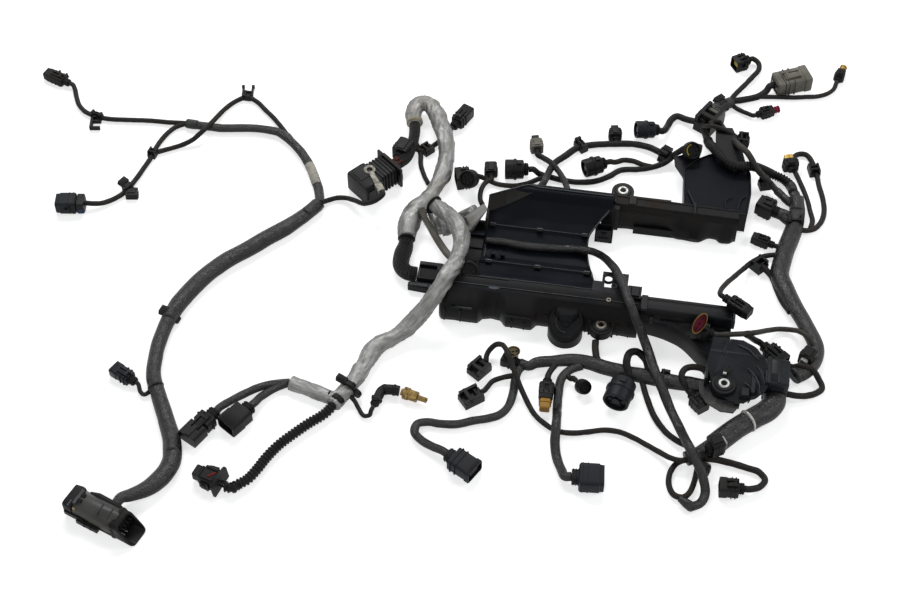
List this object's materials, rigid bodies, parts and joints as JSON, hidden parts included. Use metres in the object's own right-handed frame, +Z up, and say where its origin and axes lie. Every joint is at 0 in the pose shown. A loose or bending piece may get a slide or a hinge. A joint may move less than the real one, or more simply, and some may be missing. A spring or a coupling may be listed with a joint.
{
  "type": "wiring harness",
  "caption": "Engine wiring harness with a black plastic duct housing, taped looms, foil sleeves, leads, plugs and sensors, laid flat.",
  "frame": {"origin": "centre of the duct housing in plan, on the floor it lies on", "axes": "+X along the housing ducts towards the end bracket, +Y towards the rear panel, +Z up"},
  "size_m": [0.9968, 0.8108, 0.0629],
  "materials": {
    "housing": "moulded, dusty",
    "loom": "taped, satin",
    "sleeve": "creased foil, stained",
    "hose": "ribbed, dirty",
    "plug": "moulded",
    "metal": "worn",
    "steel": "worn",
    "tan": "moulded",
    "grey": "dirty"
  },
  "bodies": {
    "root": {"center_tray": "housing", "front_duct": "housing", "right_duct": "housing", "end_bracket": "housing", "rear_duct": "housing", "rear_panel": "housing", "front_bush": "steel", "rear_bush": "steel", "bracket_bush": "steel", "left_loom": "loom", "box_loom": "loom", "upper_sleeve": "sleeve", "long_sleeve": "sleeve", "ribbed_hose": "hose", "braided_hose": "loom", "socket_leads": "loom", "conduit": "loom", "sensor_lead": "loom", "tray_cable": "loom", "bundle_loom": "loom", "front_loom": "loom", "rear_loom": "loom", "top_loom": "loom", "corrugated_tube": "loom", "right_trunk": "loom", "flat_plug": "plug", "tall_plug": "plug", "edge_plug": "plug", "big_plug": "plug", "box_connector": "plug", "open_plug": "plug", "pin_connector": "plug", "twin_plug": "plug", "box_plug": "plug", "strip_plug": "plug", "elbow_connector": "plug", "rear_drum_left": "plug", "rear_drum_middle": "plug", "rear_drum_top": "plug", "yellow_ring_plug": "plug", "red_tip_plug": "plug", "gold_tip_plug": "plug", "side_box_plug": "plug", "side_plug": "plug", "arc_plug": "plug", "oval_connector": "plug", "end_plug": "plug", "front_plug": "plug", "wide_plug": "plug", "orange_tip_plug": "plug", "front_drum": "plug", "bracket_plug": "plug", "lower_plug": "plug", "hex_connector": "plug", "ring_eyelet": "steel", "brass_sensor": "metal", "beige_plug": "tan", "grey_connector": "grey"}
  },
  "joints": []
}
